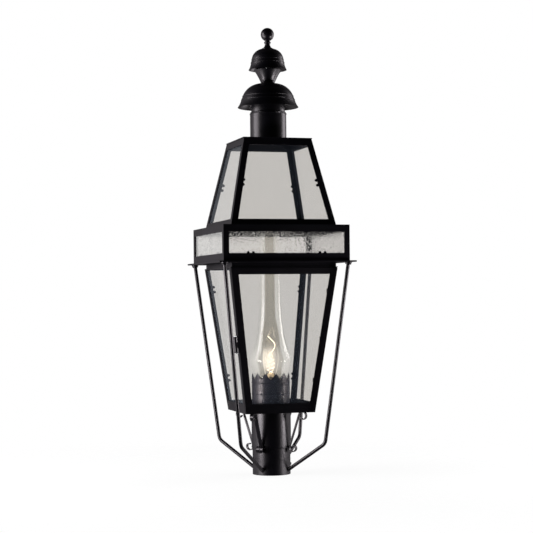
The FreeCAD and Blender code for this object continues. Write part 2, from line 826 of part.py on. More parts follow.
def make_tabs():
    roof_middle = (roof_z + roof_bottom_rail + lid_z - roof_top_rail) / 2
    pair = [tab_on_stile(roof_box, roof_middle, roof_stile, way) for way in (-1, 1)]
    save("roof_glass_tabs", [turned(tab, side) for side in sides for tab in pair])
    inward = Vector(0, 1, 0)
    pair = []
    for x in (-gallery_tab_x, gallery_tab_x):
        spot = Vector(x, -gallery_half + sheet, gallery_z + gallery_bottom_rail)
        pair.append(placed(glass_tab(), spot, up, inward, up.cross(inward)))
    save("gallery_glass_tabs", [turned(tab, side) for side in sides for tab in pair])
    tabs = []
    for z in body_tab_z:
        for side, (left, right) in body_legs.items():
            tabs.append(turned(tab_on_stile(body_box, z, left, -1), side))
            tabs.append(turned(tab_on_stile(body_box, z, right, 1), side))
    save("body_glass_tabs", tabs)


def make_vent_tube():
    z = lid_z - vent_below_lid
    body = Part.makeCylinder(vent_r, vent_top_z - z, Vector(0, 0, z))
    body = body.fuse([Part.makeCylinder(vent_flange_r, vent_below_lid, Vector(0, 0, z)),
                      bead(vent_r - bead_inset, vent_top_z - vent_bead_r, vent_bead_r)])
    body = body.cut(Part.makeCylinder(vent_r - vent_wall, 2 * through, Vector(0, 0, z - past)))
    body = body.cut(groove(vent_r, vent_top_z - vent_groove_below_top, vent_groove_width, vent_groove_depth))
    save("vent_tube", one_solid(body))


def make_cap_sleeve():
    r = vent_r - vent_wall - cap_sleeve_gap
    z = vent_top_z - cap_sleeve_depth
    body = Part.makeCylinder(r, cap_sleeve_depth + cap_sleeve_rise, Vector(0, 0, z))
    body = body.fuse(bead(r + cap_sleeve_gap / 2, vent_top_z + cap_sleeve_bead_r, cap_sleeve_bead_r))
    body = body.cut(Part.makeCylinder(r - cap_sleeve_wall, 2 * through, Vector(0, 0, z - past)))
    slot = Part.makeBox(2 * r, cap_slot_width, cap_slot_height,
                        Vector(0, -cap_slot_width / 2, vent_top_z + cap_slot_low))
    slots = [turned(slot, 360 * (i + 0.5) / cap_slot_count) for i in range(cap_slot_count)]
    save("cap_sleeve", one_solid(body.cut(slots)))
    inner = r - cap_sleeve_wall - bridge_end_gap
    z_bar = vent_top_z + bridge_above_tube
    bar = Part.makeBox(2 * r, bridge_width, bridge_thickness, Vector(-r, -bridge_width / 2, z_bar))
    bar = bar.common(Part.makeCylinder(inner, through, Vector(0, 0, vent_top_z)))
    bar = bar.cut(Part.makeCylinder(tie_rod_r + tie_rod_gap, through, Vector(0, 0, vent_top_z)))
    save("cap_bridge", one_solid(bar))


def bell(rim_r, rim_z, step, brow, shoulder, top_r, top_z):
    """A spun bell: a flared skirt under a rounded crown, hollow inside."""
    def form(shrink, drop, rim_drop):
        rim = (rim_r - shrink, rim_z - rim_drop)
        low, high = (step[0] - shrink, step[1] - drop), (brow[0] - shrink, brow[1] - drop)
        round_point = (shoulder[0] - shrink, shoulder[1] - drop)
        crown = (top_r - shrink * 0.5, top_z - drop)
        flare = ((rim[0] + low[0]) / 2 - bell_flare_hollow, (rim[1] + low[1]) / 2)
        return revolved([line((0, rim[1]), rim), arc(rim, flare, low), line(low, high),
                         arc(high, round_point, crown), line(crown, (0, crown[1])),
                         line((0, crown[1]), (0, rim[1]))])
    shape = form(0, 0, 0).cut(form(bell_wall, bell_wall, bell_rim_trim))
    shape = shape.fuse([bead(step[0] - bead_inset, step[1], bell_bead_r),
                        bead(brow[0] - bead_inset, brow[1], bell_bead_r)])
    hole = Part.makeCylinder(tie_rod_r + tie_rod_gap, through, Vector(0, 0, top_z - through / 2))
    above = Part.makeCylinder(rim_r, through, Vector(0, 0, top_z))
    return shape.cut([hole, above])


def make_bells():
    low = bell(low_bell_rim_r, low_bell_rim_z, low_bell_step, low_bell_brow, low_bell_shoulder,
               low_bell_top_r, low_bell_top_z)
    save("lower_bell", one_solid(low))
    high = bell(high_bell_rim_r, high_bell_rim_z, high_bell_step, high_bell_brow, high_bell_shoulder,
                high_bell_top_r, high_bell_top_z)
    save("upper_bell", one_solid(high))


def make_cone():
    """A hollow spun cone, narrow end down, with slightly hollow sides and a flat foot."""
    low = (cone_low_r, low_bell_top_z)
    high = (cone_high_r, low_bell_top_z + cone_height)
    waist = ((low[0] + high[0]) / 2 - cone_hollow, (low[1] + high[1]) / 2)
    foot = low[1] + bell_wall
    inside = ((low[0] - bell_wall + cone_foot_fillet, foot), (waist[0] - bell_wall, waist[1]),
              (high[0] - bell_wall, high[1]))
    outer = revolved([line((0, low[1]), low), arc(low, waist, high), line(high, (0, high[1])),
                      line((0, high[1]), (0, low[1]))])
    hollow = revolved([line((0, foot), inside[0]), arc(*inside), line(inside[2], (0, high[1])),
                       line((0, high[1]), (0, foot))])
    hole = Part.makeCylinder(tie_rod_r + tie_rod_gap, through, Vector(0, 0, low[1] - past))
    save("cap_cone", one_solid(outer.cut([hollow, hole])))


def make_finial():
    """Ball, collar, waisted neck and foot, turned in one piece, with a blind hole for the tie rod."""
    ball_low = finial_ball_z - math.sqrt(finial_ball_r ** 2 - finial_neck_r ** 2)
    foot_z = high_bell_top_z
    brim_z = foot_z + finial_foot_brim
    hollow = (finial_neck_r + finial_hollow_r, brim_z + finial_hollow_rise)
    collar_low = finial_collar_z - finial_collar_half
    collar_high = finial_collar_z + finial_collar_half
    ball_top = (0, finial_ball_z + finial_ball_r)
    edges = [line((0, foot_z), (finial_foot_r, foot_z)),
             line((finial_foot_r, foot_z), (finial_foot_r, brim_z)),
             arc((finial_foot_r, brim_z), hollow, (finial_neck_r, finial_neck_z)),
             line((finial_neck_r, finial_neck_z), (finial_neck_r, collar_low)),
             arc((finial_neck_r, collar_low), (finial_collar_r, finial_collar_z),
                 (finial_neck_r, collar_high)),
             line((finial_neck_r, collar_high), (finial_neck_r, ball_low)),
             arc((finial_neck_r, ball_low), (finial_ball_r, finial_ball_z), ball_top),
             line(ball_top, (0, foot_z))]
    hole = Part.makeCylinder(tie_rod_r + tie_rod_gap, tie_rod_in_finial + past, Vector(0, 0, foot_z - past))
    save("finial", one_solid(revolved(edges).cut(hole)))
    nut_z = vent_top_z + bridge_above_tube - tie_nut
    low = nut_z - tie_rod_below_nut
    rod = Part.makeCylinder(tie_rod_r, foot_z + tie_rod_in_finial - tie_rod_end_gap - low, Vector(0, 0, low))
    nut = hexagon(tie_nut_r, nut_z, tie_nut)
    save("cap_tie_rod", one_solid(rod.fuse(nut)))
    spacer_z = low_bell_top_z + bell_wall
    spacer = tube(cap_spacer_r, tie_rod_r + tie_rod_gap, spacer_z, foot_z - bell_wall - spacer_z)
    save("cap_spacer", one_solid(spacer))


def make_cup():
    """The toothed lamp cup: a spun cup with two beads and a crown of points cut in its rim."""
    body = Part.makeCylinder(cup_r, cup_height, Vector(0, 0, cup_z))
    body = body.fuse([bead(cup_r - bead_inset, z, cup_bead_r) for z in cup_bead_z])
    body = body.cut(Part.makeCylinder(cup_r - cup_wall, cup_height, Vector(0, 0, cup_z + cup_wall)))
    body = body.cut(Part.makeCylinder(pipe_r + pipe_gap, through, Vector(0, 0, cup_z - past)))
    pitch = 2 * math.pi * cup_r / cup_tooth_count
    mouth = (pitch - cup_tooth_flat) / 2
    valley = cup_top_z - cup_tooth_depth
    wide = mouth * (cup_tooth_depth + past) / cup_tooth_depth
    start = cup_r / 2
    notch = flat_face([Vector(start, 0, valley), Vector(start, wide, cup_top_z + past),
                       Vector(start, -wide, cup_top_z + past)]).extrude(Vector(cup_r, 0, 0))
    notches = [turned(notch, cup_tooth_turn + 360 * i / cup_tooth_count) for i in range(cup_tooth_count)]
    save("lamp_cup", one_solid(body.cut(notches)))


def make_seat():
    r = cup_r - cup_wall - seat_side_gap
    disc = Part.makeCylinder(r, seat_thickness, Vector(0, 0, seat_z))
    hole = Part.makeCylinder(seat_hole_r, through, Vector(seat_hole_circle_r, 0, seat_z - past))
    holes = [turned(hole, 360 * i / seat_hole_count) for i in range(seat_hole_count)]
    holes.append(Part.makeCylinder(holder_r + holder_foot_gap, through, Vector(0, 0, seat_z - past)))
    save("chimney_seat", one_solid(disc.cut(holes)))


def make_chimney():
    """A blown glass chimney: straight heel, full belly, long neck."""
    def side(shrink):
        return [(chimney_base_r - shrink, chimney_z + chimney_heel),
                (chimney_mouth_r - shrink, chimney_z + chimney_mouth_rise),
                (chimney_bulge_r - shrink, chimney_z + chimney_bulge_rise),
                (chimney_shoulder_r - shrink, chimney_z + chimney_shoulder_rise),
                (chimney_waist_r - shrink, chimney_z + chimney_waist_rise),
                (chimney_throat_r - shrink, chimney_z + chimney_throat_rise),
                (chimney_neck_r - shrink, chimney_z + chimney_neck_rise)]
    outer, inner = side(0), side(chimney_wall)
    top = chimney_z + chimney_height
    low_out, low_in = (outer[0][0], chimney_z), (inner[0][0], chimney_z)
    high_out, high_in = (outer[-1][0], top), (inner[-1][0], top)
    rim = ((high_out[0] + high_in[0]) / 2, top + chimney_wall / 2)
    edges = [line(low_in, low_out), line(low_out, outer[0]), smooth(outer), line(outer[-1], high_out),
             arc(high_out, rim, high_in), line(high_in, inner[-1]), smooth(inner), line(inner[0], low_in)]
    save("glass_chimney", revolved(edges))


def make_lamp():
    pipe_low = floor_z - hub_lid - pipe_below_lid
    pipe_top = cup_z + pipe_above_floor
    save("lamp_pipe", one_solid(tube(pipe_r, pipe_bore_r, pipe_low, pipe_top - pipe_low)))
    nut_bore = pipe_r + pipe_gap
    save("pipe_nuts", [one_solid(hex_nut(pipe_nut_r, nut_bore, floor_z - hub_lid - pipe_nut, pipe_nut)),
                       one_solid(hex_nut(pipe_nut_r, nut_bore, cup_z + cup_wall, pipe_nut))])
    holder = Part.makeCylinder(holder_r, holder_height, Vector(0, 0, pipe_top - pipe_in_holder))
    pipe_room = Part.makeCylinder(pipe_r + pipe_gap, through, Vector(0, 0, pipe_top - through))
    bore_z = holder_top() - holder_bore_depth
    holder = holder.cut([pipe_room, Part.makeCylinder(holder_bore_r, through, Vector(0, 0, bore_z))])
    save("lamp_holder", one_solid(holder))


def holder_top():
    return cup_z + pipe_above_floor - pipe_in_holder + holder_height


def make_bulb():
    z = holder_top()
    low = z - holder_bore_depth + bulb_base_above_bore
    crown = z + bulb_height
    glass_line = [(bulb_collar_r, z + 1), (bulb_belly_r, z + bulb_belly_rise),
                  (bulb_shoulder_r, z + bulb_shoulder_rise), (bulb_tip_r, crown - 2)]
    edges = [line((0, low), (bulb_base_r, low)), line((bulb_base_r, low), (bulb_base_r, z + 1)),
             line((bulb_base_r, z + 1), glass_line[0]), smooth(glass_line),
             line(glass_line[-1], (0, crown)), line((0, crown), (0, low))]
    save("bulb", revolved(edges))


def make_all():
    os.makedirs("parts", exist_ok=True)
    make_sleeve()
    make_set_screws()
    make_hub()
    make_body_frame()
    make_body_glass()
    make_floor()
    make_door_frame()
    make_door_glass()
    make_door_clips()
    make_hinge()
    make_catch()
    make_plate()
    make_rods()
    make_scroll_legs()
    make_gallery()
    make_roof()
    make_tabs()
    make_vent_tube()
    make_cap_sleeve()
    make_bells()
    make_cone()
    make_finial()
    make_cup()
    make_seat()
    make_chimney()
    make_lamp()
    make_bulb()


make_all()
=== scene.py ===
import json
import math

import bpy
from mathutils import Matrix, Vector


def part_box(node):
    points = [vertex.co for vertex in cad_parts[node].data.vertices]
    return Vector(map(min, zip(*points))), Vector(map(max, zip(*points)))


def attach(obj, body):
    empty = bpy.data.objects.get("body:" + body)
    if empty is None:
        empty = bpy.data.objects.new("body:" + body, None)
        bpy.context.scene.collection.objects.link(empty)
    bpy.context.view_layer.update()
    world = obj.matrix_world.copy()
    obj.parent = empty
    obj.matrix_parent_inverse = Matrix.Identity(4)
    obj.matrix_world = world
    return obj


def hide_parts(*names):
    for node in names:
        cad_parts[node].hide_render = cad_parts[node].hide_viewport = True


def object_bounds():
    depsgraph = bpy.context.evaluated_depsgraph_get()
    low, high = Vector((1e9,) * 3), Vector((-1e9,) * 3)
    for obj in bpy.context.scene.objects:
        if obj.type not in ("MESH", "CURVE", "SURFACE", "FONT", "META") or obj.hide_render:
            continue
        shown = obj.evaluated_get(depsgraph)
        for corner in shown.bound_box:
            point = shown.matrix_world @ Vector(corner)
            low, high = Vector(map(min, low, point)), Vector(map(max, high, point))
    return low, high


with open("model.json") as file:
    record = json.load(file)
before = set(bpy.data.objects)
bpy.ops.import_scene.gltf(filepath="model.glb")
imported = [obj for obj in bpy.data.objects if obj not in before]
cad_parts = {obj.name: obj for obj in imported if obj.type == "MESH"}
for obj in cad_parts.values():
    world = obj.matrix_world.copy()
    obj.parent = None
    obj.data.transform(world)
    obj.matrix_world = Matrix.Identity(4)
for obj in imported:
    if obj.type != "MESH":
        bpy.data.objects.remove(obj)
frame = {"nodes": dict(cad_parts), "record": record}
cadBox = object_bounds()
print("lantern frame loaded:", len(frame["nodes"]), "nodes")

photoTurn = math.radians(15.88)  # the photograph is taken from this far left of the front
viewAcross = Vector((math.cos(photoTurn), -math.sin(photoTurn), 0))  # to the right in the photograph
viewAway = Vector((math.sin(photoTurn), math.cos(photoTurn), 0))  # away from its camera


class Amount:  # a shader value; the operators below write Math nodes
    def __init__(self, finish, socket):
        self.finish = finish
        self.socket = socket

    def math(self, operation, first, second):
        node = self.finish.node("ShaderNodeMath", {"operation": operation}, {0: first, 1: second})
        return Amount(self.finish, node.outputs[0])

    def __add__(self, other):
        return self.math("ADD", self, other)

    def __radd__(self, other):
        return self.math("ADD", other, self)

    def __sub__(self, other):
        return self.math("SUBTRACT", self, other)

    def __rsub__(self, other):
        return self.math("SUBTRACT", other, self)

    def __mul__(self, other):
        return self.math("MULTIPLY", self, other)

    def __rmul__(self, other):
        return self.math("MULTIPLY", other, self)

    def __pow__(self, other):
        return self.math("POWER", self, other)

    def __rpow__(self, other):
        return self.math("POWER", other, self)

    def above(self, other):  # the larger of the two
        return self.math("MAXIMUM", self, other)

    def below(self, other):  # the smaller of the two
        return self.math("MINIMUM", self, other)

    def fade(self, start, end):  # 0 at start, 1 at end, smooth between
        node = self.finish.node("ShaderNodeMapRange", {"interpolation_type": "SMOOTHSTEP"},
                                {"Value": self, "From Min": start, "From Max": end})
        return Amount(self.finish, node.outputs["Result"])


class Finish:  # one material, or the world, built node by node
    def __init__(self, block):
        block.use_nodes = True
        self.block = block
        self.tree = block.node_tree
        self.tree.nodes.clear()

    def node(self, kind, settings=None, values=None):
        made = self.tree.nodes.new(kind)
        for name, value in (settings or {}).items():
            setattr(made, name, value)
        for name, value in (values or {}).items():
            self.feed(made.inputs[name], value)
        return made

    def feed(self, socket, value):  # a link, or a value that is the same all over
        if isinstance(value, Amount):
            self.tree.links.new(value.socket, socket)
        elif isinstance(value, bpy.types.NodeSocket):
            self.tree.links.new(value, socket)
        elif socket.type == "RGBA":
            socket.default_value = (*value, 1.0)
        else:
            socket.default_value = value

    def place(self):
        return self.node("ShaderNodeTexCoord").outputs["Object"]

    def axes(self, vector):
        split = self.node("ShaderNodeSeparateXYZ", None, {0: vector})
        return [Amount(self, output) for output in split.outputs]

    def noise(self, scale, detail, distortion=0.0):
        texture = self.node("ShaderNodeTexNoise", None, {
            "Vector": self.place(), "Scale": scale, "Detail": detail, "Distortion": distortion})
        return Amount(self, texture.outputs[0])

    def slant(self):  # 0 facing the ray, 1 edge on, the same from both sides
        return Amount(self, self.node("ShaderNodeLayerWeight").outputs["Facing"])

    def rays(self, *kinds):  # 1 for these kinds of ray, 0 for all others
        path = self.node("ShaderNodeLightPath")
        first, *others = [Amount(self, path.outputs["Is " + kind + " Ray"]) for kind in kinds]
        for other in others:
            first = first.above(other)
        return first

    def blendColours(self, factor, first, second):
        blend = self.node("ShaderNodeMix", {"data_type": "RGBA"}, {0: factor, 6: first, 7: second})
        return blend.outputs[2]

    def bump(self, height, strength, distance):
        return self.node("ShaderNodeBump", None, {
            "Height": height, "Strength": strength, "Distance": distance}).outputs[0]

    def principled(self, values):
        return self.node("ShaderNodeBsdfPrincipled", None, values).outputs[0]

    def matt(self, colour, roughness):
        return self.principled({
            "Base Color": colour, "Roughness": roughness, "Specular IOR Level": 0.0})

    def transparent(self, tint):
        return self.node("ShaderNodeBsdfTransparent", None, {"Color": tint}).outputs[0]

    def light(self, colour, strength, kind="ShaderNodeEmission"):
        return self.node(kind, None, {"Color": colour, "Strength": strength}).outputs[0]

    def mixed(self, share, first, second):
        return self.node("ShaderNodeMixShader", None, {0: share, 1: first, 2: second}).outputs[0]

    def surface(self, shader, output="ShaderNodeOutputMaterial"):
        self.node(output, None, {"Surface": shader})
        return self.block


def newFinish(name):
    return Finish(bpy.data.materials.new(name))


# Black powder coat: nearly black, under a thin gloss with a fine orange-peel skin
coatValues = {
    "colours": ((0.0007, 0.0006, 0.0014), (0.0013, 0.0011, 0.0024)),
    # painted light: the lamp cup's colours are lighter than the rest of the coat, for the light round
    # the bulb
    "cupPaintedLightColours": ((0.013, 0.0126, 0.019), (0.020, 0.0195, 0.027)),
    "patches": (9.0, 3.0),  # scale and detail of the noise, as in each finish below
    "patchEdge": (0.35, 0.7),
    "baseRoughness": 0.9,
    "glossColour": (0.99, 0.92, 0.97),
    "roughness": 0.32,
    "patchRoughness": 0.03,
    "peel": (900.0, 1.0),
    "peelStrength": 0.3,
    "peelDepth": 0.0000025,
    "gloss": 0.021,
    "slantGloss": 0.5,
    "slantPower": 3.0,
    "mostGloss": 0.046,
    "hingeLift": 0.012,
    # painted light: extra gloss share that lightens the lamp cup
    "cupPaintedLightLift": 0.004,
}


def powderCoat(name, lift=0.0, colours=coatValues["colours"]):
    v = coatValues
    look = newFinish(name)
    patches = look.noise(*v["patches"]).fade(*v["patchEdge"])
    base = look.matt(look.blendColours(patches, *colours), v["baseRoughness"])
    shine = look.principled({
        "Base Color": v["glossColour"], "Metallic": 1.0,
        "Roughness": patches * v["patchRoughness"] + v["roughness"],
        "Normal": look.bump(look.noise(*v["peel"]), v["peelStrength"], v["peelDepth"])})
    share = look.slant() ** v["slantPower"] * v["slantGloss"] + v["gloss"]
    return look.surface(look.mixed(share.below(v["mostGloss"]) + lift, base, shine))


# Zinc plated steel: tie rod and spacer, hinge pin, catch, screws, pipe and nuts, and bulb leads
steelValues = {
    "colours": ((0.42, 0.42, 0.43), (0.24, 0.24, 0.25)),
    "grain": (160.0, 4.0),
    "grainEdge": (0.3, 0.75),
    "roughness": 0.34,
    "grainRoughness": 0.14,
}


def platedSteel():
    v = steelValues
    look = newFinish("platedSteel")
    grain = look.noise(*v["grain"]).fade(*v["grainEdge"])
    return look.surface(look.principled({
        "Base Color": look.blendColours(grain, *v["colours"]), "Metallic": 1.0,
        "Roughness": grain * v["grainRoughness"] + v["roughness"]}))


# Brass of the bulb's base
brassValues = {
    "colour": (0.90, 0.74, 0.52),
    "grain": (220.0, 2.0),
    "grainEdge": (0.3, 0.8),
    "roughness": 0.34,
    "grainRoughness": 0.1,
}


def brassShell():
    v = brassValues
    look = newFinish("brassShell")
    grain = look.noise(*v["grain"]).fade(*v["grainEdge"])
    return look.surface(look.principled({
        "Base Color": v["colour"], "Metallic": 1.0,
        "Roughness": grain * v["grainRoughness"] + v["roughness"]}))


# The face of all clear glass: what is seen through it, and a mirror that grows with the slant
mirrorValues = {
    "colour": (0.95, 0.95, 0.95),
    "roughness": 0.03,
    "faceOn": 0.04,
    "slantPower": 5.0,
}


def glassFace(look, through, shine):
    v = mirrorValues
    mirror = look.principled({"Base Color": v["colour"], "Metallic": 1.0, "Roughness": v["roughness"]})
    mirrored = (look.slant() ** v["slantPower"] * (1 - v["faceOn"]) + v["faceOn"]) * shine
    return look.mixed(mirrored, through, mirror)


def lightPasses(look, seen, clear):  # one shader to the eye, another to shadows and soft light
    return look.mixed(look.rays("Shadow", "Diffuse"), seen, clear)


# Clear panes with a very thin film of dust, which lifts what is dark behind them
paneValues = {
    "tint": (0.862, 0.854, 0.842),  # at each face
    "shine": 0.13,
    "film": (0.64, 0.76, 1.0),
    "filmRoughness": 0.9,
    "filmShare": 0.011,
}


def paneGlass():
    v = paneValues
    look = newFinish("paneGlass")
    film = look.matt(v["film"], v["filmRoughness"])
    dusty = look.mixed(v["filmShare"], look.transparent(v["tint"]), film)
    return look.surface(glassFace(look, dusty, v["shine"]))


# Seeded glass of the gallery: small bubbles and ripples, which bend what is seen through it
seededValues = {
    "tint": (0.795, 0.780, 0.762),
    "ior": 1.45,
    "seedScale": 265.0,
    "seedEdge": (0.05, 0.42),
    "ripples": (320.0, 2.0),
    "rippleShare": 0.2,
    "strength": 1.0,
    "depth": 0.0002,
}


def seededGlass():
    v = seededValues
    look = newFinish("seededGlass")
    seeds = look.node("ShaderNodeTexVoronoi", None, {"Vector": look.place(), "Scale": v["seedScale"]})
    dimples = 1 - Amount(look, seeds.outputs["Distance"]).fade(*v["seedEdge"])
    relief = look.noise(*v["ripples"]) * v["rippleShare"] + dimples
    bent = look.principled({
        "Base Color": v["tint"], "Transmission Weight": 1.0, "Roughness": 0.0, "IOR": v["ior"],
        "Normal": look.bump(relief, v["strength"], v["depth"])})
    return look.surface(lightPasses(look, bent, look.transparent(v["tint"])))


# Blown chimney: grey in the middle and clear at its sides, with white streaks down its shoulder and
# a faint warm painted glow round the lit bulb, a little brighter at its sides.
# Fades over the height are in metres above the foot.
chimneyValues = {
    "core": (0.785, 0.768, 0.726),
    "side": (1.0, 1.0, 0.988),
    "coreEdge": (0.075, 0.17),  # slant where the grey ends
    "coreSpread": 0.12,  # and how much further it reaches in the belly
    "spreadFade": (0.345, 0.300),
    "shadow": (0.960, 0.955, 0.945),
    "shine": 0.8,
    "streak": 1.0,  # shine added between the next two fades
    "streakTop": (0.400, 0.350),
    "streakFoot": (0.250, 0.275),
    # painted glow: the bulb's light given off by the glass itself, with its colour, strength, share
    # and height fades
    "paintedGlowColour": (1.0, 0.98, 0.94),
    "paintedGlowStrength": 1.0,
    "paintedGlow": 0.16,
    "paintedGlowTop": (0.290, 0.250),
    "paintedGlowFoot": (0.212, 0.240),
    "sidePaintedGlow": 0.05,
    "leastPaintedGlow": 0.01,
}


def chimneyGlass():
    v = chimneyValues
    look = newFinish("chimneyGlass")
    height = look.axes(look.place())[2]
    side = (look.slant() - height.fade(*v["spreadFade"]) * v["coreSpread"]).fade(*v["coreEdge"])
    low = height.fade(*v["paintedGlowFoot"]) * height.fade(*v["paintedGlowTop"])
    # painted glow share: most at the bulb's height, a little more at the sides, and a trace all over
    paintedGlow = low * v["paintedGlow"] + side * v["sidePaintedGlow"] + v["leastPaintedGlow"]
    straight = look.principled({  # the bulb shows through unbent
        "Base Color": look.blendColours(side, v["core"], v["side"]),
        "Transmission Weight": 1.0, "Roughness": 0.0, "IOR": 1.0})
    streak = height.fade(*v["streakTop"]) * height.fade(*v["streakFoot"])
    glass = glassFace(look, lightPasses(look, straight, look.transparent(v["shadow"])),
                      streak * v["streak"] + v["shine"])
    return look.surface(look.mixed(paintedGlow, glass, look.light(v["paintedGlowColour"], v["paintedGlowStrength"])))


# Glass of the bulb: clear, with a mottled cloud of light round the hottest wire, a lit rim and tip
bulbGlassValues = {
    "tint": (0.975, 0.970, 0.960),
    "shine": 0.45,
    "lit": (1.0, 0.92, 0.80),
    "litStrength": 2.2,
    "grain": (330.0, 2.0, 1.5),  # with its distortion
    "grainEdge": (0.35, 0.6),
    "cloud": 0.95,
    "leastCloud": 0.25,
    "cloudFoot": (0.220, 0.238),
    "cloudTop": (0.278, 0.252),
    "cloudRight": (0.014, 0.001),  # it thins out to the right
    "cloudEdge": (0.98, 0.45),
    "rim": 0.5,
    "rimTop": (0.286, 0.252),
    "rimEdge": (0.5, 0.8),
    "tip": 0.4,
    "tipFoot": (0.290, 0.304),
    "tipEdge": (0.2, 0.7),
}


def bulbSkin():
    v = bulbGlassValues
    look = newFinish("bulbGlass")
    x, y, height = look.axes(look.place())
    across = x * viewAcross.x + y * viewAcross.y
    grain = look.noise(*v["grain"]).fade(*v["grainEdge"])
    slant = look.slant()
    cloud = height.fade(*v["cloudFoot"]) * height.fade(*v["cloudTop"]) * across.fade(*v["cloudRight"])
    mottled = grain * (1 - v["leastCloud"]) + v["leastCloud"]
    cloud = cloud * slant.fade(*v["cloudEdge"]) * mottled * v["cloud"]
    rim = slant.fade(*v["rimEdge"]) * height.fade(*v["rimTop"]) * v["rim"]
    tip = height.fade(*v["tipFoot"]) * slant.fade(*v["tipEdge"]) * grain * v["tip"]
    glass = glassFace(look, look.transparent(v["tint"]), v["shine"])
    return look.surface(look.mixed(cloud + rim + tip, glass, look.light(v["lit"], v["litStrength"])))


# Hot tungsten: the filament, and the thin loops round it
hotValues = {
    "metal": (0.9, 0.6, 0.35),
    "filament": (1.0, 0.86, 0.66),
    "filamentStrength": 4.0,
    "loops": (1.0, 0.88, 0.72),
    "loopStrength": 4.2,
}


def hotWire(name, colour, strength):
    look = newFinish(name)
    return look.surface(look.principled({
        "Base Color": hotValues["metal"], "Emission Color": colour, "Emission Strength": strength}))


coat = powderCoat("blackPowderCoat")
hingeCoat = powderCoat("hingeCoat", coatValues["hingeLift"])
# painted light: a lighter, glossier copy of the coat for the lamp cup inside the lit chimney
cupPaintedLightCoat = powderCoat("cupPaintedLightCoat", coatValues["cupPaintedLightLift"], coatValues["cupPaintedLightColours"])
steel = platedSteel()
brass = brassShell()
bulbGlass = bulbSkin()
filamentGlow = hotWire("hotWire", hotValues["filament"], hotValues["filamentStrength"])
loopGlow = hotWire("warmWire", hotValues["loops"], hotValues["loopStrength"])

slotFinishes = {
    "black_metal": coat,
    "plain_steel": steel,
    "clear_glass": paneGlass(),
    "seeded_glass": seededGlass(),
}
ownFinishes = {  # nodes that look unlike the others of their slot
    "glass_chimney": chimneyGlass(),
    "hinge_leaf_door": hingeCoat,
    "hinge_leaf_frame": hingeCoat,
    "lamp_cup": cupPaintedLightCoat,
}


def dressNodes():
    slots = {part["node"]: part["material_slot"] for part in frame["record"]["subparts"]}
    for name, node in frame["nodes"].items():
        node.data.materials.clear()
        node.data.materials.append(ownFinishes.get(name, slotFinishes[slots[name]]))


dressNodes()
print("nodes dressed")


def newObject(name, data):
    made = bpy.data.objects.new(name, data)
    bpy.context.scene.collection.objects.link(made)
    return made


def lanternPiece(name, data, finish):
    data.materials.append(finish)
    piece = newObject(name, data)
    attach(piece, "lantern")
    return piece


def turnedPiece(name, outline, finish, segments, lean=None):
    points, faces, rings = [], [], []
    for radius, height in outline:
        count = segments if radius else 1  # a single point on the axis
        rings.append([len(points) + i % count for i in range(segments)])
        for i in range(count):
            angle = 2 * math.pi * i / segments
            spot = Vector((radius * math.cos(angle), radius * math.sin(angle), height))
            points.append(spot + lean(height) if lean else spot)
    for low, high in zip(rings, rings[1:]):
        for i in range(segments):
            j = (i + 1) % segments
            faces.append(list(dict.fromkeys((low[i], low[j], high[j], high[i]))))
    mesh = bpy.data.meshes.new(name)
    mesh.from_pydata(points, [], faces)
    mesh.update()
    mesh.shade_smooth()
    return lanternPiece(name, mesh, finish)


wireValues = {"roundness": 3, "curveOrder": 3}


def wirePiece(name, route, radius, finish):
    curve = bpy.data.curves.new(name, "CURVE")
    curve.dimensions = "3D"
    curve.bevel_depth = radius
    curve.bevel_resolution = wireValues["roundness"]
    curve.use_fill_caps = True
    spline = curve.splines.new("NURBS")
    spline.points.add(len(route) - 1)
    for point, spot in zip(spline.points, route):
        point.co = (*spot, 1.0)
    spline.order_u = wireValues["curveOrder"]
    spline.use_endpoint_u = True
    lanternPiece(name, curve, finish)


# The bulb stands in for the plain solid of the frame. Its heights are above the lamp holder's top.
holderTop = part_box("lamp_holder")[1].z

# Flame-shaped glass envelope with a bent tip
envelopeValues = {
    "height": 0.1135,
    "collarRadius": 0.0082,
    "bellyRadius": 0.0172,
    "bellyShare": 0.40,  # of the height
    "bellySwell": 1.2,
    "tipRadius": 0.0010,
    "tipFall": 1.05,
    "tipRise": 0.0008,
    "bendShare": 0.62,
    "tipBend": 0.0045,
    "rings": 40,
    "segments": 40,
}


def envelopeRadius(share):
    v = envelopeValues
    if share < v["bellyShare"]:
        swell = math.sin(math.pi / 2 * share / v["bellyShare"]) ** v["bellySwell"]
        return v["collarRadius"] + (v["bellyRadius"] - v["collarRadius"]) * swell
    fall = ((share - v["bellyShare"]) / (1 - v["bellyShare"])) ** v["tipFall"]
    return v["tipRadius"] + (v["bellyRadius"] - v["tipRadius"]) * math.cos(math.pi / 2 * fall)


def envelopeLean(height):
    v = envelopeValues
    share = (height - holderTop) / v["height"]
    bent = max(0.0, share - v["bendShare"]) / (1 - v["bendShare"])
    return Vector((v["tipBend"] * bent ** 2, 0, 0))


def bulbEnvelope():
    v = envelopeValues
    shares = [i / v["rings"] for i in range(v["rings"] + 1)]
    side = [(envelopeRadius(share), holderTop + v["height"] * share) for share in shares]
    outline = [(0.0, holderTop), *side, (0.0, holderTop + v["height"] + v["tipRise"])]
    envelope = turnedPiece("bulb_envelope", outline, bulbGlass, v["segments"],
                           envelopeLean)
    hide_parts("bulb")


# Brass base in the holder, whose shoulder lies just inside the envelope's collar
baseValues = {
    "radius": 0.0060,
    "shoulderShare": 0.97,  # of the collar
    "shoulderLow": 0.001,
    "shoulderHigh": 0.012,
    "crownRadius": 0.004,
    "crown": 0.014,
    "segments": 32,
}


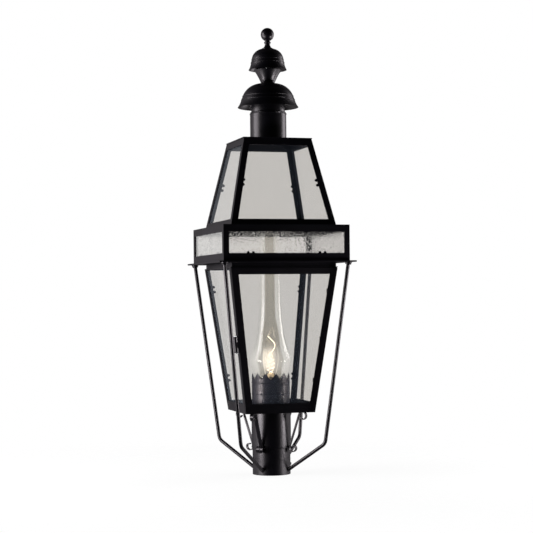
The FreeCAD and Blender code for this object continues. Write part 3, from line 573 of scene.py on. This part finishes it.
def bulbBase():
    v = baseValues
    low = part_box("bulb")[0]
    shoulder = envelopeValues["collarRadius"] * v["shoulderShare"]
    crown = holderTop + v["crown"]
    outline = [(0.0, low.z), (v["radius"], low.z), (v["radius"], holderTop),
               (shoulder, holderTop + v["shoulderLow"]), (shoulder, holderTop + v["shoulderHigh"]),
               (v["crownRadius"], crown), (0.0, crown)]
    turnedPiece("bulb_base", outline, brass, v["segments"])


# Glass stem on the base, which tapers up between the wires
stemValues = {
    "outline": ((0.0, 0.014), (0.0045, 0.014), (0.0026, 0.026), (0.0016, 0.070), (0.0, 0.072)),
    "segments": 16,
}


def bulbStem():
    v = stemValues
    outline = [(radius, holderTop + rise) for radius, rise in v["outline"]]
    turnedPiece("bulb_stem", outline, bulbGlass, v["segments"])


def bulbSpot(across, away, rise):  # a place in the bulb, as the photograph's camera sees it
    return viewAcross * across + viewAway * away + Vector((0, 0, holderTop + rise))


# Filament: a bent wire, whose corners lie by turns nearer and farther
filamentValues = {
    "corners": ((-0.006, 0.036), (0.007, 0.043), (-0.006, 0.051), (0.004, 0.062),
                (0.0100, 0.070), (0.0095, 0.079), (0.0030, 0.086), (-0.005, 0.094)),
    "depth": 0.002,
    "radius": 0.0009,
}


def bulbFilament():
    v = filamentValues
    corners = [bulbSpot(across, v["depth"] * (-1) ** i, rise)
               for i, (across, rise) in enumerate(v["corners"])]
    wirePiece("bulb_filament", corners, v["radius"], filamentGlow)
    return corners[0]


# Loops: one thin hot wire wound round the filament
loopValues = {
    "turn": 2.2,  # radians from each point to the next
    "points": 34,
    "low": 0.013,
    "high": 0.060,
    "sway": 0.0035,
    "mostRadius": 0.0160,
    "leastRadius": 0.0030,
    "swell": 0.8,
    "radius": 0.0004,
}


def bulbLoops():
    v = loopValues
    route = []
    for i in range(v["points"]):
        share = i / (v["points"] - 1)
        swell = math.sin(math.pi * share ** v["swell"])
        reach = v["leastRadius"] + (v["mostRadius"] - v["leastRadius"]) * swell
        rise = v["low"] + (v["high"] - v["low"]) * share + v["sway"] * (-1) ** i
        angle = v["turn"] * i
        route.append((reach * math.cos(angle), reach * math.sin(angle), holderTop + rise))
    wirePiece("bulb_filament_loops", route, v["radius"], loopGlow)


# Leads: two thin wires that bow outwards from the stem's foot to the filament's lower end
leadValues = {
    "spread": 0.003,
    "foot": 0.013,
    "radius": 0.0003,
}


def bulbLeads(end):
    v = leadValues
    for name, side in (("bulb_lead_left", -v["spread"]), ("bulb_lead_right", v["spread"])):
        foot = bulbSpot(side, 0, v["foot"])
        bow = (foot + end) / 2 + viewAcross * side
        wirePiece(name, [foot, bow, end], v["radius"], steel)


bulbEnvelope()
bulbBase()
bulbStem()
filamentEnd = bulbFilament()
bulbLoops()
bulbLeads(filamentEnd)
print("bulb made")


# Surroundings: white to the eye, and to the lantern dim in front and bright behind
worldValues = {
    "frontLevel": 0.02,
    "backLevel": 0.42,
    "levelFade": (-0.75, 0.6),  # from the front to the back
    "mirrorLevel": 1.0,  # what gloss shows of the back
    "mirrorFade": (-0.2, 0.7),
    "darkTop": 0.93,
    "topFade": (0.2, 0.75),
    "white": (1.0, 1.0, 1.0),
}


def studioWorld():
    v = worldValues
    world = bpy.data.worlds.new("studio")
    bpy.context.scene.world = world
    look = Finish(world)
    direction = look.node("ShaderNodeTexCoord").outputs["Generated"]
    dot = look.node("ShaderNodeVectorMath", {"operation": "DOT_PRODUCT"}, {0: direction, 1: viewAway})
    back = Amount(look, dot.outputs["Value"])
    upward = look.axes(direction)[2]
    glossy = look.rays("Glossy")
    level = (back.fade(*v["levelFade"]) * (v["backLevel"] - v["frontLevel"])
             + back.fade(*v["mirrorFade"]) * (v["mirrorLevel"] - v["backLevel"]) * glossy
             + v["frontLevel"])
    level = level * (1 - upward.fade(*v["topFade"]) * glossy * v["darkTop"])
    soft = look.light(v["white"], level, "ShaderNodeBackground")
    plain = look.light(v["white"], 1.0, "ShaderNodeBackground")
    seen = look.rays("Camera", "Transmission")
    look.surface(look.mixed(seen, soft, plain), "ShaderNodeOutputWorld")


# Pale floor, which keeps the shadow and fades out into the white
floorValues = {
    "size": 3.0,
    "drop": 0.0005,  # below the lantern's foot
    "colour": (0.86, 0.86, 0.86),
    "roughness": 0.9,
    "white": (1.0, 1.0, 1.0),
    "whiteShare": 0.9,  # to the eye
    "fade": (0.36, 0.9),  # metres from the lantern's axis
}


def floorFinish():
    v = floorValues
    look = newFinish("paleFloor")
    x, y = look.axes(look.place())[:2]
    distance = (x * x + y * y) ** 0.5
    lift = look.rays("Camera", "Transmission") * v["whiteShare"]
    lifted = look.mixed(lift, look.matt(v["colour"], v["roughness"]), look.light(v["white"], 1.0))
    gone = distance.fade(*v["fade"]).above(look.rays("Glossy"))
    return look.surface(look.mixed(gone, lifted, look.transparent(v["white"])))


def studioFloor():
    v = floorValues
    half = v["size"] / 2
    mesh = bpy.data.meshes.new("floor")
    corners = [(-half, -half, 0), (half, -half, 0), (half, half, 0), (-half, half, 0)]
    mesh.from_pydata(corners, [], [(0, 1, 2, 3)])
    mesh.materials.append(floorFinish())
    floor = newObject("floor", mesh)
    floor.location.z = cadBox[0].z - v["drop"]


# Soft lamps; azimuths are in degrees to the left of the photograph's camera
lampValues = {
    "leftSoftbox": {
        "azimuth": 81, "height": 0.9, "distance": 1.6, "size": (0.95, 1.3), "power": 33.0},
    "rightSoftbox": {
        "azimuth": -119, "height": 0.9, "distance": 1.6, "size": (0.85, 1.3), "power": 23.0},
    "lowLeftStrip": {
        "azimuth": 64, "height": 0.14, "distance": 1.2, "size": (0.55, 0.26), "power": 18.0},
    "lowRightStrip": {
        "azimuth": -76, "height": 0.14, "distance": 1.2, "size": (0.45, 0.26), "power": 16.0},
}


def softLamp(name, azimuth, height, distance, size, power):
    light = bpy.data.lights.new(name, "AREA")
    light.shape = "RECTANGLE"
    light.size, light.size_y = size
    light.energy = power
    lamp = newObject(name, light)
    turn = photoTurn + math.radians(azimuth)
    lamp.location = (-distance * math.sin(turn), -distance * math.cos(turn), height)
    target = Vector((0, 0, min(height, cadBox[1].z)))
    lamp.rotation_mode = "QUATERNION"
    lamp.rotation_quaternion = (target - lamp.location).to_track_quat("-Z", "Y")
    lamp.visible_transmission = False  # or the glass shows it as a white patch from other sides


# The photograph's camera: level, with a slight roll
cameraValues = {
    "distance": 3.255,
    "height": 0.380,
    "roll": math.radians(0.57),
    "sensor": 36.0,
    "lens": 101.31,
    "shift": (-0.00645, 0.0600),
}


def photoCamera():
    v = cameraValues
    data = bpy.data.cameras.new("photoCamera")
    data.sensor_width = v["sensor"]
    data.lens = v["lens"]
    data.shift_x, data.shift_y = v["shift"]
    camera = newObject("photoCamera", data)
    camera.location = viewAway * -v["distance"] + Vector((0, 0, v["height"]))
    level = Matrix.Rotation(-photoTurn, 4, "Z") @ Matrix.Rotation(math.radians(90), 4, "X")
    camera.rotation_euler = (level @ Matrix.Rotation(-v["roll"], 4, "Z")).to_euler()
    bpy.context.scene.camera = camera


studioWorld()
studioFloor()
for name, values in lampValues.items():
    softLamp(name, **values)
photoCamera()
bpy.context.scene.view_settings.view_transform = "Standard"
print("studio set")
